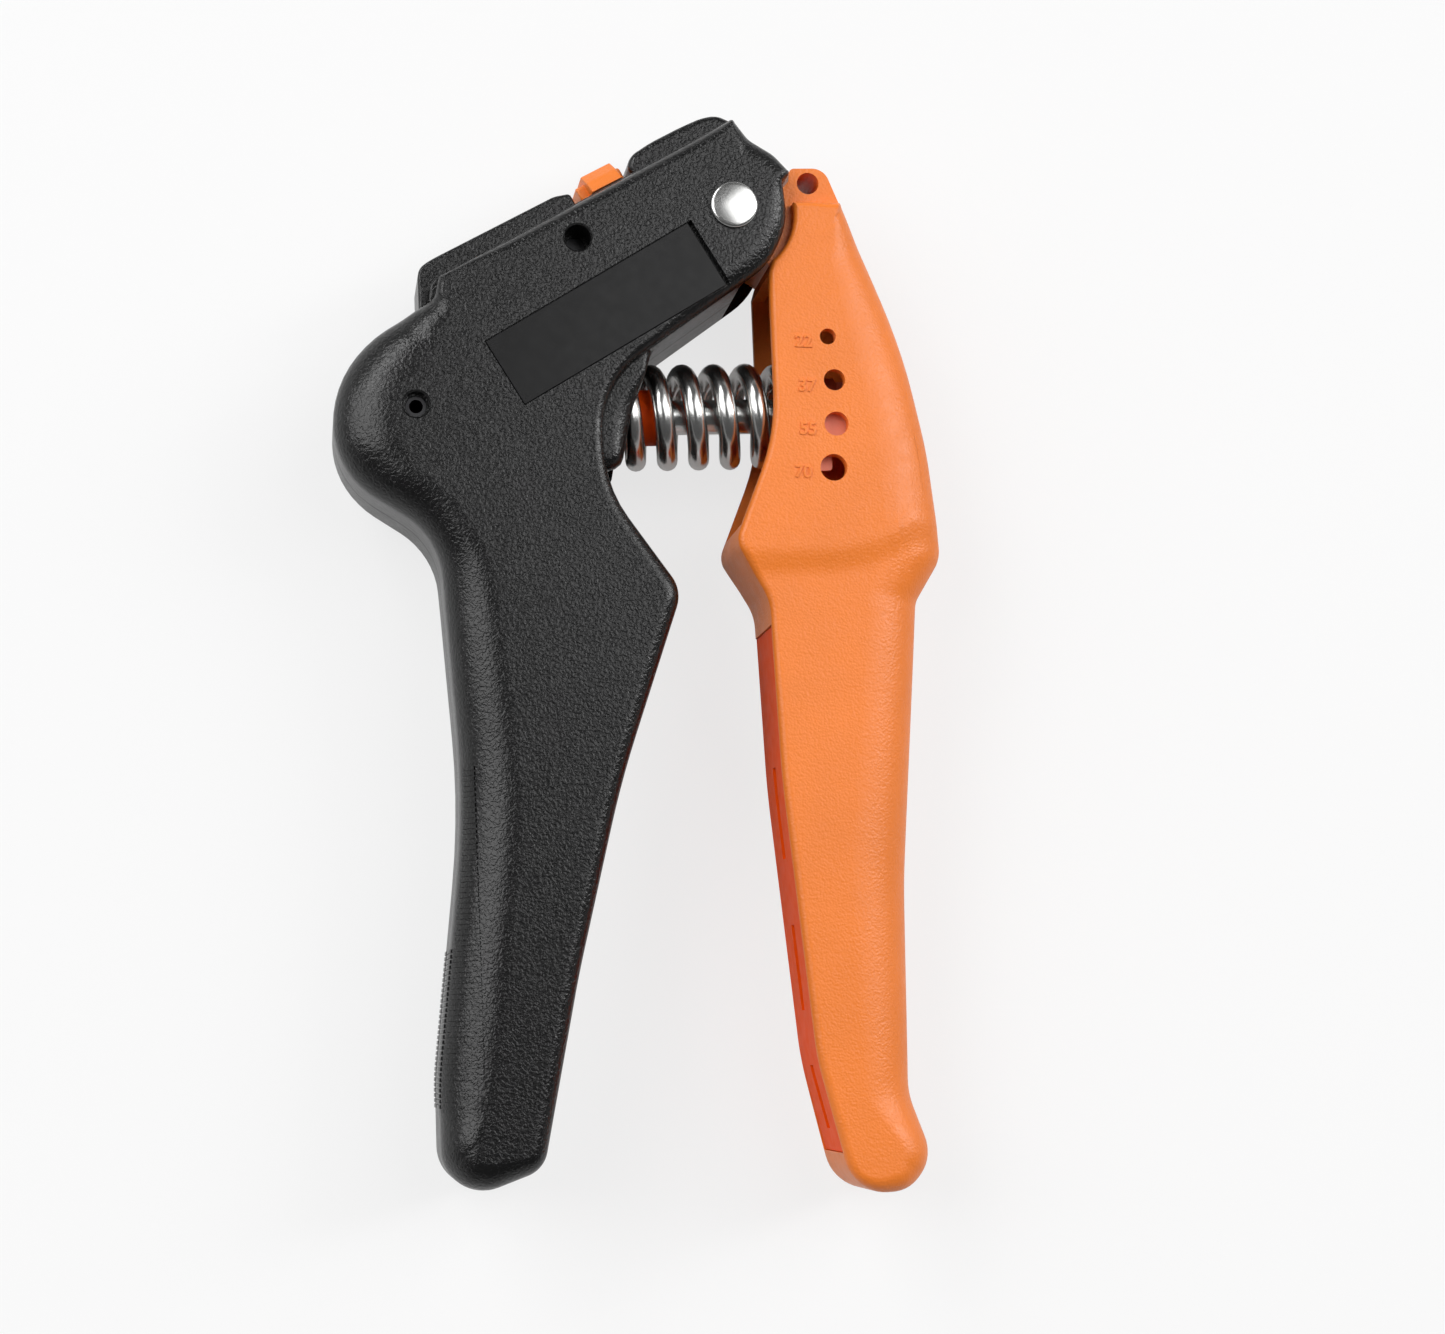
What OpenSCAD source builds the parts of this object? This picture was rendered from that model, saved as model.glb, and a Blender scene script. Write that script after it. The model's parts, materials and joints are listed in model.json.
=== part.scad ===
// Adjustable hand grip strengthener, lying on its back with the grips open.
// The hinge axis is the Z axis, the coil spring lies along X and both grips run towards -Y.
// Outlines are lists of [x, y, corner radius], anticlockwise, rounded by outline().

/* [Spring] */
// Outside diameter of the coil spring
spring_d = 16; // [14:0.5:20]
// Diameter of the spring wire
wire_d = 3; // [2.4:0.1:3.2]
// Distance between two curls in the open middle of the spring
spring_pitch = 4.9; // [4.4:0.1:6]
// Diameter of the steel guide rod inside the spring
rod_d = 5.2; // [4:0.1:5.6]
// Wall of the guide sleeve that the rod slides in
sleeve_wall = 1.5; // [1.2:0.1:1.7]

/* [Case] */
// Wall thickness of the two case shells
case_wall = 2.2; // [1.8:0.1:2.6]
// Wall thickness of the fixed grip, below the spring
grip_wall = 3.2; // [2.6:0.1:3.6]
// Distance from the hinge to the spring's pivot pin, along the spring
seat_x = 47.6; // [44:0.5:60]
// How far the spring's axis lies below the hinge
seat_y = 29.2; // [28:0.2:32]
// Distance from the hinge to the lower end of the fixed grip
grip_len = 144.5; // [120:1:176]
// Slope of the ridge along the top of the case
ridge_angle = 27; // [24:1:29]
// Height of that ridge above the hinge, measured square to it
ridge_h = 11.9; // [11.4:0.1:12]
// Where the edge of the spring's mouth lies, left of the hinge
mouth_x = 20.4; // [19:0.2:22]
// Diameter of the case screws
screw_d = 2.4; // [2:0.1:3]

/* [Moving handle] */
// Wall thickness of the moving handle
handle_wall = 2; // [1.6:0.1:2.4]
// Wall thickness of the moving handle on the palm side, where the edges are rounded
palm_wall = 3.6; // [3:0.1:4]
// Distance from the hinge to the lower end of the moving handle
handle_len = 145.2; // [120:1:176]
// Thickness of the hinge tongue and the lug
tongue_t = 15.4; // [13:0.2:16]
// Radius of the lanyard hole in the lug
lanyard_r = 1.65; // [1.4:0.05:1.9]
// Thickness of the slotted inner cover
cover_t = 1.6; // [1.2:0.1:2]

/* [Pins] */
// Diameter of the hinge rivet's shank
rivet_d = 5; // [4:0.1:5.4]
// Diameter of the rivet's head
rivet_head_d = 7; // [6.4:0.1:8]
// Diameter of the spring's hollow pivot pin
trunnion_d = 3; // [2.6:0.1:3.4]
// Diameter of the lock lever's pin
lock_pin_d = 3; // [2.6:0.1:3.2]
// Diameter of the cross pin at the spring's moving end
cross_pin_d = 3.5; // [3:0.1:4]

/* [Resistance settings] */
// Distance from the hinge to the cross pin's socket in the rack, along the spring
cross_x = 18.9; // [18.4:0.1:20.4]
// Angle between two neighbouring sockets
socket_step = 6.1; // [5.8:0.1:6.6]
// Distance from the hinge to the windows in the handle, along the spring
window_x = 14.4; // [12.4:0.1:15.4]
// Diameters of the four windows, from the light setting to the heavy one
window_d = [2.4, 3.2, 3.6, 4];

/* [Motion] */
// Angle through which the handle closes
close_angle = 12.5; // [8:0.5:12.5]
// Angle through which the lock lever turns
lock_angle = 8; // [7:0.5:8]

/* [Clearances] */
// Radial clearance of a pin or rod in the part that turns or slides on it
run_fit = 0.05; // [0.02:0.01:0.1]
// Gap between moving parts that never touch
gap = 0.3; // [0.2:0.05:0.4]
// Room beside the spring, and beside the handle between the hinge plates
side_play = 0.4; // [0.3:0.05:0.6]

/* [Hidden] */
$fn = 64;
eps = 0.01;

// Levels, all counted from the back face up: plates, handle walls and tongue share one middle.
case_t = spring_d + 2*(side_play + handle_wall + side_play + case_wall);
mid_z = case_t/2;
handle_z = case_wall + side_play;
channel_z = handle_z + handle_wall;
tongue_z = mid_z - tongue_t/2;
washer_t = 0.5;
hinge_boss_z = tongue_z - washer_t - 2*run_fit;
hinge_boss_r = 7.2;
hub_r = 7.2;
hub_gap_r = 9.5;

seat = [-seat_x, -seat_y];
socket_r = seat_x + cross_x;
window_r = seat_x + window_x;
lock_axis = [-23.3, -4.7];
coil_r = (spring_d - wire_d)/2;
sleeve_r = rod_d/2 + 2*run_fit + sleeve_wall;

function spun(p, a) = [p.x*cos(a) - p.y*sin(a), p.x*sin(a) + p.y*cos(a)];
// Ridge coordinates: s runs up along the ridge, d square to it, both from the hinge.
function on_ridge(s, d) = spun([s, d], ridge_angle);
function on_arc(r, a) = seat + r*[cos(a), sin(a)];
function rect(low, high) = [low, [high.x, low.y], high, [low.x, high.y]];

// Rounded outlines
function unit(v) = v/norm(v);
function left_of(v) = [-v.y, v.x];
function corner(a, b, c, r) =
    let(u = unit(a - b), v = unit(c - b), half = acos(u*v)/2,
        centre = b + unit(u + v)*r/sin(half),
        from = b + u*r/tan(half) - centre, to = b + v*r/tan(half) - centre,
        a0 = atan2(from.y, from.x), turn = 180 - 2*half,
        way = u.x*v.y - u.y*v.x < 0 ? 1 : -1, steps = max(r < 1 ? 3 : 5, ceil(turn/7)))
    [for (i = [0:steps]) centre + r*[cos(a0 + way*turn*i/steps), sin(a0 + way*turn*i/steps)]];
function xy(p) = [p.x, p.y];
function outline(pts) = [for (i = [0:len(pts) - 1])
    let(a = xy(pts[(i + len(pts) - 1) % len(pts)]), b = xy(pts[i]), c = xy(pts[(i + 1) % len(pts)]))
    each (pts[i][2] > 0 ? corner(a, b, c, pts[i][2]) : [b])];
// The same outline with every side moved in by d: outer corners tighten, inner ones widen.
function inset(pts, d) = [for (i = [0:len(pts) - 1])
    let(a = xy(pts[(i + len(pts) - 1) % len(pts)]), b = xy(pts[i]), c = xy(pts[(i + 1) % len(pts)]),
        e = unit(b - a), f = unit(c - b), n = left_of(e), m = left_of(f),
        p = b + d*(n + m)/(1 + n*m), bend = e.x*f.y - e.y*f.x)
    [p.x, p.y, pts[i][2] == 0 ? 0 : bend > 0 ? max(pts[i][2] - d, 0.3) : pts[i][2] + d]];

// Outline of the case: ridge, round left end, fixed grip, spring's mouth, hinge end
ridge_top = on_ridge(6.6, ridge_h);
ridge_drop = 1;
ridge_low = on_ridge(4 - seat_x, ridge_h - ridge_drop);
nose = [-9.7, -57];
grip_top_y = -60;
grip_back_x = -47.2;
foot_w = 14.5;
waist = seat + [2.8, -18.8];
finger_top = nose + [-9.9, -27.5];
finger_low = [grip_back_x + foot_w, 5 - grip_len];
finger_mid = (finger_top + finger_low)/2 - [0.6, 0];
beak = [8.9, 5.3];
beak_root = [7.6, 3.8];
case_pts = [
    [ridge_top.x, ridge_top.y, 0.8],
    [ridge_low.x, ridge_low.y, 1.2],
    [seat.x + 3.2, seat.y + 16.2, 1.4],
    [seat.x - 12, seat.y + 7.3, 16],
    [seat.x - 12, seat.y - 9, 13],
    [waist.x, waist.y, 12],
    [-42.4, (waist.y - grip_len + 18.5)/2, 120],
    [grip_back_x, 18.5 - grip_len, 40],
    [grip_back_x, -grip_len, 6],
    [finger_low.x, finger_low.y, 4.5],
    [finger_mid.x, finger_mid.y, 200],
    [finger_top.x, finger_top.y, 150],
    [nose.x, nose.y, 5],
    [-mouth_x, seat.y - 12.3, 18],
    [-mouth_x, seat.y + 2.9, 14],
    [5.2, -8.6, 12],
    [8.3, -2, 10],
    [beak_root.x, beak_root.y, 0.8],
    [beak.x, beak.y, 0.6]];
// with the shallow wave between the beak and the ridge
plate_pts = concat(case_pts, [[6.6, 8.1, 6], [2.9, 10.5, 5]]);

// Without the beak, which is too narrow to be hollow
cavity_pts = [for (i = [0:len(case_pts) - 2]) i < len(case_pts) - 2 ? case_pts[i]
    : [beak_root.x, beak.y + (beak.x - beak_root.x)*(ridge_top.y - beak.y)/(beak.x - ridge_top.x), 0.5]];

// Outline of the moving handle below the lug: hinge arc, channel edge, lip, grip, palm side
hinge_arc = [for (a = [8:-4:-52]) hub_gap_r*[cos(a), sin(a)]];
lip = [-1.4, -49.6];
handle_pts = concat(
    [for (p = hinge_arc) [p.x, p.y, 0]],
    [[5.3, -9.2, 0.5],
     [5.3, -33.5, 30],
     [lip.x, lip.y, 3.5],
     [3.4, -58.5, 8],
     [4.1, -85, 150],
     [7.4, 19.7 - handle_len, 40],
     [12, -handle_len, 6.5],
     [26, -handle_len, 6],
     [21.5, 14.2 - handle_len, 12],
     [22.6, -100, 150],
     [26.2, -58.6, 4],
     [30.2, -52.2, 5],
     [28.7, -36, 60],
     [25.6, -20.2, 80],
     [17, 1.3, 0.8]]);

// Outline of the hinge tongue with the lug; its shoulder rests on the beak when the grip is open
beak_side = unit(beak_root - beak);
shoulder = left_of(beak_side)*gap;
tongue_pts = [
    [9.4, 7, 0.8],
    [beak.x + shoulder.x + 0.05, beak.y + shoulder.y, 0],
    [beak_root.x + shoulder.x, beak_root.y + shoulder.y - 0.1, 0],
    [4.5, -0.5, 0],
    [2, -5, 0],
    [7.5, -9, 0],
    [18.5, -3, 0],
    [16.8, 1.3, 0],
    [14.6, 7, 2.6]];
lug_hole = [12.1, 4.7];
rib_y = -59.5;

// Lock: nose of the lever, and the hub sector with one notch for open and one for closed
sector_r = 15;
sector_from = 216;
sector_to = 246;
nose_reach = 14.45;
nose_tip = 0.9;
nose_angle = -31.05;
nose_w = 1.2;
lever_t = 9;

// Spring stations along X, counted from the hinge
flange_x = 8.4 - seat_x;
flange_t = 2;
seat_washer_t = 0.8;
sleeve_end_x = flange_x + 28.3;
carrier_x = cross_x - 5.3;
carrier_washer_t = 1.2;
flange_r = spring_d/2 - 0.1;
spring_x0 = flange_x + flange_t + seat_washer_t + 0.02;
spring_x1 = carrier_x - carrier_washer_t - 0.02;

module slab(points, z0, z1) translate([0, 0, z0]) linear_extrude(z1 - z0) polygon(points);
module block(low, high) translate(low) cube(high - low);
module post(at, r, z0, z1)
    translate([at.x, at.y, z0]) cylinder(r = r, h = z1 - z0, $fn = r > 20 ? 360 : 64);
module along_x(r, x0, x1) translate([x0, seat.y, mid_z]) rotate([0, 90, 0]) cylinder(r = r, h = x1 - x0);
// Block with its corners given in ridge coordinates
module on_ridge_block(s0, s1, d0, d1, z0, z1)
    slab([for (p = rect([s0, d0], [s1, d1])) on_ridge(p.x, p.y)], z0, z1);
module flip() translate([0, 0, case_t]) mirror([0, 0, 1]) children();

// ---- Case ----

screw_at = [on_ridge(9.4 - seat_x, 6.2), [seat.x - 2.9, seat.y - 10.8], [-26, -50],
            [-32.5, -92], [grip_back_x + 7.2, 11.5 - grip_len]];
screw_boss_r = screw_d/2 + 1.8;
screw_head_r = 2.4;
screw_head_z = 2.8;
boss_r = 3.4;

// Gap in the raised spine where the lock tab sits
valley_s0 = -19.4;
valley_s1 = -9.8;
spine_d = 14.7;
shelf_d = 12.2;

module spine() {
    shelf = [on_ridge(2 - seat_x, 8), on_ridge(6.8, 8), on_ridge(6.8, shelf_d), on_ridge(2.1 - seat_x, shelf_d - ridge_drop)];
    slab([shelf[1], shelf[2], shelf[3], [shelf[3].x, ridge_low.y - 3], shelf[0]], 3, mid_z);
    left_end = on_ridge(-44.9 + 47.6 - seat_x, spine_d);
    slab([on_ridge(valley_s0, 8), on_ridge(valley_s0, 14), on_ridge(valley_s0 - 2.4, spine_d), left_end,
          [left_end.x, seat.y + 15], [seat.x + 5, seat.y + 15]], 6, mid_z);
    slab([on_ridge(7, 8), on_ridge(7.9, 12.4), on_ridge(6.1, 14.5), on_ridge(3.9, 15.2), on_ridge(0.5, 15.4),
          on_ridge(-4.7, 15.4), on_ridge(-8.4, 15), on_ridge(valley_s1, 13.8), on_ridge(valley_s1, 8)], 6, mid_z);
}

// Smooth lip that shields the spring where it enters the case
module guard_lip()
    slab(outline([[-12.6, -20.9, 1], [-14.6, -18.6, 1], [-mouth_x - 2.5, -26, 4], [-mouth_x - 2.5, -37.5, 2],
                  [-19.6, -39.2, 1.5], [-17.1, -38.6, 1.4], [-14.2, -25.6, 8]]),
         case_wall - eps, channel_z - 0.2);

// One half of the case, from its outer face at z = 0 to the joint face in the middle
module half_case() {
    difference() {
        union() {
            difference() {
                union() {
                    slab(outline(plate_pts), 0, mid_z);
                    spine();
                }
                intersection() {
                    slab(outline(inset(cavity_pts, case_wall)), case_wall, mid_z + 1);
                    block([-80, grip_top_y, 0], [20, 20, mid_z + 2]);
                }
                intersection() {
                    slab(outline(inset(cavity_pts, grip_wall)), grip_wall, mid_z + 1);
                    block([-80, -grip_len, 0], [20, grip_top_y + eps, mid_z + 2]);
                }
                // room for the lock lever inside the spine, and the slot for its tab
                on_ridge_block(-28, valley_s1 - 1, 6, shelf_d - 1.9, mid_z - lever_t/2 - gap - 0.2, mid_z + 1);
                on_ridge_block(-18.4, valley_s1 - 1, 6, 20, mid_z - lever_t/2 - gap - 0.2, mid_z + 1);
                // mouth for the spring
                block([-mouth_x - 4, seat.y - spring_d/2 - 3, channel_z - 0.2],
                      [-11.6, seat.y + spring_d/2 + 0.6, mid_z + 1]);
                // way out for the tongue and the handle at the hinge end
                block([0.8, -20, case_wall], [12, 2, mid_z + 1]);
                slab([[2, 0], [12, -4], [12, 6], beak, beak_root, [5.4, 1.4]], case_wall, mid_z + 1);
                post([0, 0], hub_r + 0.4, hinge_boss_z, mid_z + 1);
            }
            guard_lip();
            post([0, 0], hinge_boss_r, eps, hinge_boss_z);
            post(seat, boss_r, eps, channel_z + 0.2);
            post(lock_axis, boss_r, eps, mid_z - lever_t/2 - 0.1);
            for (p = screw_at) post(p, screw_boss_r, eps, mid_z);
            // closed stop for the hub sector
            slab([for (p = rect([hub_r + 2, -2.4], [sector_r - 0.5, -0.2])) spun(p, sector_from - close_angle)],
                 eps, mid_z);
            // slotted foot for the detent spring
            on_ridge_block(-28.8, -25, -1.4, 0.8, eps, mid_z);
            // low ribs that stiffen the grip
            for (y = [-74, -108]) intersection() {
                slab(outline(inset(cavity_pts, 1)), eps, case_wall + 4);
                block([-60, y, 0], [0, y + 1.6, mid_z]);
            }
        }
        post([0, 0], rivet_d/2 + run_fit, -1, mid_z + 1);
        post(seat, trunnion_d/2 + run_fit, 1.6, mid_z + 1);
        post(lock_axis, lock_pin_d/2 + run_fit, 1.2, mid_z + 1);
        on_ridge_block(-27.2, -26.6, -0.4, 9.6, mid_z - lever_t/2 + 0.9, mid_z + 1);
    }
}

label_l = 35.2;
label_w = 10.9;
label_t = 0.6;
label_at = [-19.4, -16];
label_angle = 30;
slit_w = 0.5;

module on_label() translate([label_at.x, label_at.y, case_t - label_t]) rotate([0, 0, label_angle]) children();

module front_shell() color("dimgray") difference() {
    flip() half_case();
    on_label() translate([-label_l/2 - 0.1, -label_w/2 - 0.1, 0])
        cube([label_l + slit_w + 0.1, label_w + 0.2, 1]);
    // deep holes over the spring's pivot pin and the lock pin
    post(seat, 1.9, case_t - 1.8, case_t + 1);
    post(lock_axis, 1.95, case_t - 6.2, case_t + 1);
    for (p = screw_at) post(p, screw_d/2, mid_z - 1, case_t - case_wall - 2);
}

module back_shell() color("dimgray") difference() {
    half_case();
    post([0, 0], rivet_head_d/2 + 0.6, -1, 1.8);
    for (p = screw_at) {
        post(p, screw_head_r + 0.2, -1, screw_head_z);
        post(p, screw_d/2 + 0.2, 0, mid_z + 1);
    }
}

module label_plate() color("#202022")
    on_label() translate([-label_l/2, -label_w/2, 0.02]) cube([label_l, label_w, label_t - 0.1]);

module case_screws() color("gray") for (p = screw_at) difference() {
    union() {
        post(p, screw_head_r, screw_head_z - 1.8, screw_head_z - 0.02);
        post(p, screw_d/2 - run_fit, screw_head_z - 0.5, case_t - case_wall - 2.5);
    }
    for (a = [0, 90]) translate([p.x, p.y, screw_head_z - 1.9]) rotate([0, 0, a])
        translate([-1.4, -0.3, 0]) cube([2.8, 0.6, 0.9]);
}

// ---- Hinge ----

module pivot_rivet() color("silver") {
    post([0, 0], rivet_d/2, 0, case_t + 0.1);
    post([0, 0], rivet_head_d/2, case_t + 0.02, case_t + 0.5);
    translate([0, 0, case_t + 0.5 - eps]) cylinder(r1 = rivet_head_d/2, r2 = rivet_head_d/2 - 0.5, h = 0.4);
}

module rivet_collar() color("silver") difference() {
    post([0, 0], rivet_head_d/2 + 0.4, 0, 1.78);
    post([0, 0], rivet_d/2 + run_fit, -1, 3);
}

module hinge_washers() color("ivory") for (z = [hinge_boss_z + run_fit, mid_z + tongue_t/2 + run_fit])
    difference() {
        post([0, 0], hinge_boss_r - 0.4, z, z + washer_t);
        post([0, 0], rivet_d/2 + run_fit, z - 1, z + 2);
    }

module trunnion_pin() color("#303032") difference() {
    post(seat, trunnion_d/2, 1.7, case_t - 2);
    post(seat, trunnion_d/2 - 0.5, 1, case_t);
}

module lock_pin() color("silver") post(lock_axis, lock_pin_d/2, 1.3, case_t - 6.4);

// ---- Lock ----

function on_lever(low, high, a) = [for (p = rect(low, high)) lock_axis + spun(p, a)];
// Bar of the nose, square to the lever, widened by c for the notches it drops into
function nose_bar(c, depth, a) =
    on_lever([nose_reach - nose_w/2 - c, -3 - c], [nose_reach + nose_w/2 + c, depth], a);

tab_d = 13.9;
module lock_lever() color("darkorange") {
    z0 = mid_z - lever_t/2;
    z1 = mid_z + lever_t/2;
    difference() {
        union() {
            post(lock_axis, 3.5, z0, z1);
            slab(nose_bar(0, nose_tip, nose_angle), z0, z1);
            slab(on_lever([1.5, -4.5], [nose_reach + nose_w/2, -1.8], nose_angle), z0, z1);
            on_ridge_block(-22.9, -11.4, 4.6, 8, z0, z1);
            on_ridge_block(-16.6, -11.4, 5, 13, z0, z1);
            // thumb tab: three steps that narrow towards its top, and a low piece at each end
            for (step = [0:2])
                on_ridge_block(-16.4, -11.3, shelf_d + gap + step, tab_d + step,
                               mid_z - 7.2 + 1.4*step, mid_z + 7.2 - 1.4*step);
            on_ridge_block(-17.8, -10.4, shelf_d + gap, tab_d + 1, mid_z - 4.2, mid_z + 4.2);
        }
        post(lock_axis, lock_pin_d/2 + run_fit, 0, case_t);
    }
}

module detent_spring() color("silver") on_ridge_block(-27.1, -26.7, -0.3, 9.5, mid_z - 3.5, mid_z + 3.5);

// ---- Moving handle ----

module hub_sector() difference() {
    slab(concat([[0, 0]], [for (a = [sector_from:3:sector_to]) sector_r*[cos(a), sin(a)]]),
         tongue_z, case_t - tongue_z);
    // one notch for the open grip and one for the closed grip
    for (turn = [0, close_angle])
        slab([for (p = nose_bar(0.25, nose_tip + 0.3, nose_angle + lock_angle)) spun(p, turn)], 0, case_t);
}

module moving_handle() color("darkorange") difference() {
    union() {
        difference() {
            slab(outline(handle_pts), handle_z, case_t - handle_z);
            intersection() {
                slab(outline(inset(handle_pts, handle_wall)), channel_z, case_t - channel_z);
                block([-6, rib_y, 0], [40, 20, case_t]);
            }
            intersection() {
                slab(outline(inset(handle_pts, palm_wall)), handle_z + palm_wall, case_t - handle_z - palm_wall);
                block([-6, -handle_len, 0], [40, rib_y + eps, case_t]);
            }
            // open side of the spring channel
            block([-6, -47, channel_z], [9, -9.6, case_t - channel_z]);
            // open side of the grip, and the rebate of the inner cover that closes it
            block([-6, 6 - handle_len, handle_z + palm_wall], [13, -62, case_t - handle_z - palm_wall]);
            difference() {
                block([-6, 6 - handle_len, channel_z], [13, -62, case_t - channel_z]);
                slab(outline(inset(handle_pts, 0.4 + cover_t)), 0, case_t);
            }
        }
        slab(outline(tongue_pts), tongue_z, case_t - tongue_z);
        post([0, 0], hub_r, tongue_z, case_t - tongue_z);
        hub_sector();
        // wall between the spring channel and the hollow grip
        intersection() {
            slab(outline(inset(handle_pts, handle_wall/2)), handle_z + eps, case_t - handle_z - eps);
            block([-6, rib_y - 1, 0], [40, rib_y + 1, case_t]);
        }
        // thicker corners below the rack, where the palm side is rounded most
        intersection() {
            slab(outline(inset(handle_pts, handle_wall/2)), handle_z + eps, case_t - handle_z - eps);
            difference() {
                block([17.8, rib_y, 0], [40, -44, case_t]);
                block([0, rib_y - 1, handle_z + palm_wall], [50, 0, case_t - handle_z - palm_wall]);
            }
        }
    }
    post([0, 0], rivet_d/2 + 1, 0, case_t);
    post(lug_hole, lanyard_r, 0, case_t);
    for (i = [0:3]) post(on_arc(window_r, (1.5 - i)*socket_step), window_d[i]/2, mid_z, case_t);
}

module pivot_bush() color("tan") difference() {
    post([0, 0], rivet_d/2 + 0.98, tongue_z + 0.05, case_t - tongue_z - 0.05);
    post([0, 0], rivet_d/2 + run_fit, 0, case_t);
}

module inner_cover() color("orangered") difference() {
    intersection() {
        slab(outline(inset(handle_pts, 0.3)), channel_z + 0.1, case_t - channel_z - 0.1);
        block([-6, 6.1 - handle_len, 0], [16, -62.1, case_t]);
    }
    slab(outline(inset(handle_pts, 0.3 + cover_t)), 0, case_t);
    for (y = [[-96, -82.4], [-118.4, -105.8], [-135.8, -126.5]])
        block([-6, y[0], mid_z - 1.3], [20, y[1], mid_z + 1.3]);
}

rail_w = 3.5;
module position_rack() color("orangered") difference() {
    intersection() {
        slab(outline(inset(handle_pts, handle_wall + 0.1)), channel_z + 0.1, case_t - channel_z - 0.1);
        block([12, -43, 0], [40, -10.5, case_t]);
    }
    post(seat, socket_r + 0.2, 0, case_t);
    post(seat, socket_r + 5, channel_z + rail_w, case_t - channel_z - rail_w);
    for (i = [0:3]) post(on_arc(socket_r, (2 - i)*socket_step), cross_pin_d/2 + 0.2, 0, case_t);
}

// ---- Spring and its guide ----

module swing_seat() color("darkorange") difference() {
    union() {
        post(seat, 4.5, channel_z + 0.4, case_t - channel_z - 0.4);
        block([seat.x, seat.y - 4.5, mid_z - 4.5], [flange_x + eps, seat.y + 4.5, mid_z + 4.5]);
        along_x(flange_r, flange_x, flange_x + flange_t);
    }
    post(seat, trunnion_d/2 + run_fit, 0, case_t);
    along_x(sleeve_r + 0.02, flange_x, flange_x + flange_t + 1);
    along_x(rod_d/2 + 2*run_fit, flange_x - 1, flange_x + 1);
}

module guide_sleeve() color("darkorange") difference() {
    along_x(sleeve_r, flange_x + 0.02, sleeve_end_x);
    along_x(rod_d/2 + 2*run_fit, flange_x - 1, sleeve_end_x + 1);
}

module seat_washer() color("silver") difference() {
    along_x(flange_r, flange_x + flange_t + 0.01, flange_x + flange_t + seat_washer_t);
    along_x(sleeve_r + 0.1, flange_x, 0);
}

rod_x0 = flange_x + 8.4;
module guide_rod() color("silver") difference() {
    along_x(rod_d/2, rod_x0, cross_x + 2);
    post([cross_x, seat.y], cross_pin_d/2 + 0.02, 0, case_t);
}

carrier_r = 5.6;
washer_r = spring_d/2 - 0.7;
flag_z = mid_z + washer_r + 0.15;
body_h = 8.4;
body_t = 8.6;
module spring_carrier() color("salmon") difference() {
    union() {
        along_x(carrier_r, carrier_x, carrier_x + flange_t);
        post([cross_x, seat.y], body_h/2, mid_z - body_t/2, mid_z + body_t/2);
        block([carrier_x + flange_t - eps, seat.y - body_h/2, mid_z - body_t/2],
              [cross_x, seat.y + body_h/2, mid_z + body_t/2]);
        // stem and plate of the flag that shows the setting in the windows
        block([carrier_x + 0.1, seat.y - 5.2, mid_z + body_t/2 - 1], [carrier_x + 2.2, seat.y + 1, flag_z + eps]);
        slab(outline([[carrier_x + 3.3, seat.y + 0.8, 0.5], [carrier_x - 1.3, seat.y + 0.8, 0.5],
                      [carrier_x - 2.1, seat.y - 6.4, 0.5], [carrier_x - 2.1, seat.y - 9.9, 0.5],
                      [carrier_x + 0.2, seat.y - 9.9, 0.5], [carrier_x + 0.2, seat.y - 7.2, 0.5],
                      [carrier_x + 3.3, seat.y - 7.2, 0.8]]),
             flag_z, case_t - channel_z - 0.35);
    }
    along_x(rod_d/2 + 0.02, carrier_x - 1, cross_x + 2.05);
    post([cross_x, seat.y], cross_pin_d/2 + 0.02, 0, case_t);
}

module carrier_pin() color("silver")
    post([cross_x, seat.y], cross_pin_d/2, channel_z + 0.3, case_t - channel_z - 0.3);

module carrier_washer() color("silver") difference() {
    along_x(washer_r, carrier_x - carrier_washer_t, carrier_x - 0.01);
    along_x(rod_d/2 + 0.1, 0, carrier_x + 1);
}

// The spring is one wire: closed curls at both ends, open curls between them
closed_turns = 1;
closed_pitch = wire_d + 0.55;
wire_x0 = spring_x0 + wire_d/2;
wire_x1 = spring_x1 - wire_d/2;
open_turns = round((wire_x1 - wire_x0 - 2*closed_turns*closed_pitch)/spring_pitch);
open_pitch = (wire_x1 - wire_x0 - 2*closed_turns*closed_pitch)/open_turns;
curl_rings = 8;
wire_sides = 6;
turns = 2*closed_turns + open_turns;
wire_phase = 16;
function wire_x(t) = wire_x0
    + closed_pitch*min(t, closed_turns)
    + open_pitch*max(0, min(t - closed_turns, open_turns))
    + closed_pitch*max(0, t - closed_turns - open_turns);
function wire_at(t) = let(a = wire_phase + 360*t)
    [wire_x(t), seat.y + coil_r*cos(a), mid_z + coil_r*sin(a)];
rings = round(turns*curl_rings);
function ring(i) = let(t = i*turns/rings, a = wire_phase + 360*t, out = [0, cos(a), sin(a)],
                       along = unit([wire_x(t + 0.01) - wire_x(t - 0.01), -sin(a)*coil_r*0.1257, cos(a)*coil_r*0.1257]),
                       side = cross(out, along))
    [for (k = [0:wire_sides - 1]) wire_at(t) + wire_d/2*(cos(k*360/wire_sides)*out + sin(k*360/wire_sides)*side)];
function tube_face(i, k) = let(a = i*wire_sides + k, b = i*wire_sides + (k + 1) % wire_sides)
    [[a, b, b + wire_sides], [a, b + wire_sides, a + wire_sides]];
// Least gap between wire centres at least most of a turn apart, less the wire itself
wire_gap = min([for (i = [0:rings]) for (j = [i + curl_rings - 2:min(rings, i + curl_rings + 2)])
                norm(wire_at(i*turns/rings) - wire_at(j*turns/rings))]) - wire_d;
echo(spring_gap_to_itself = wire_gap, curls = turns);

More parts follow.
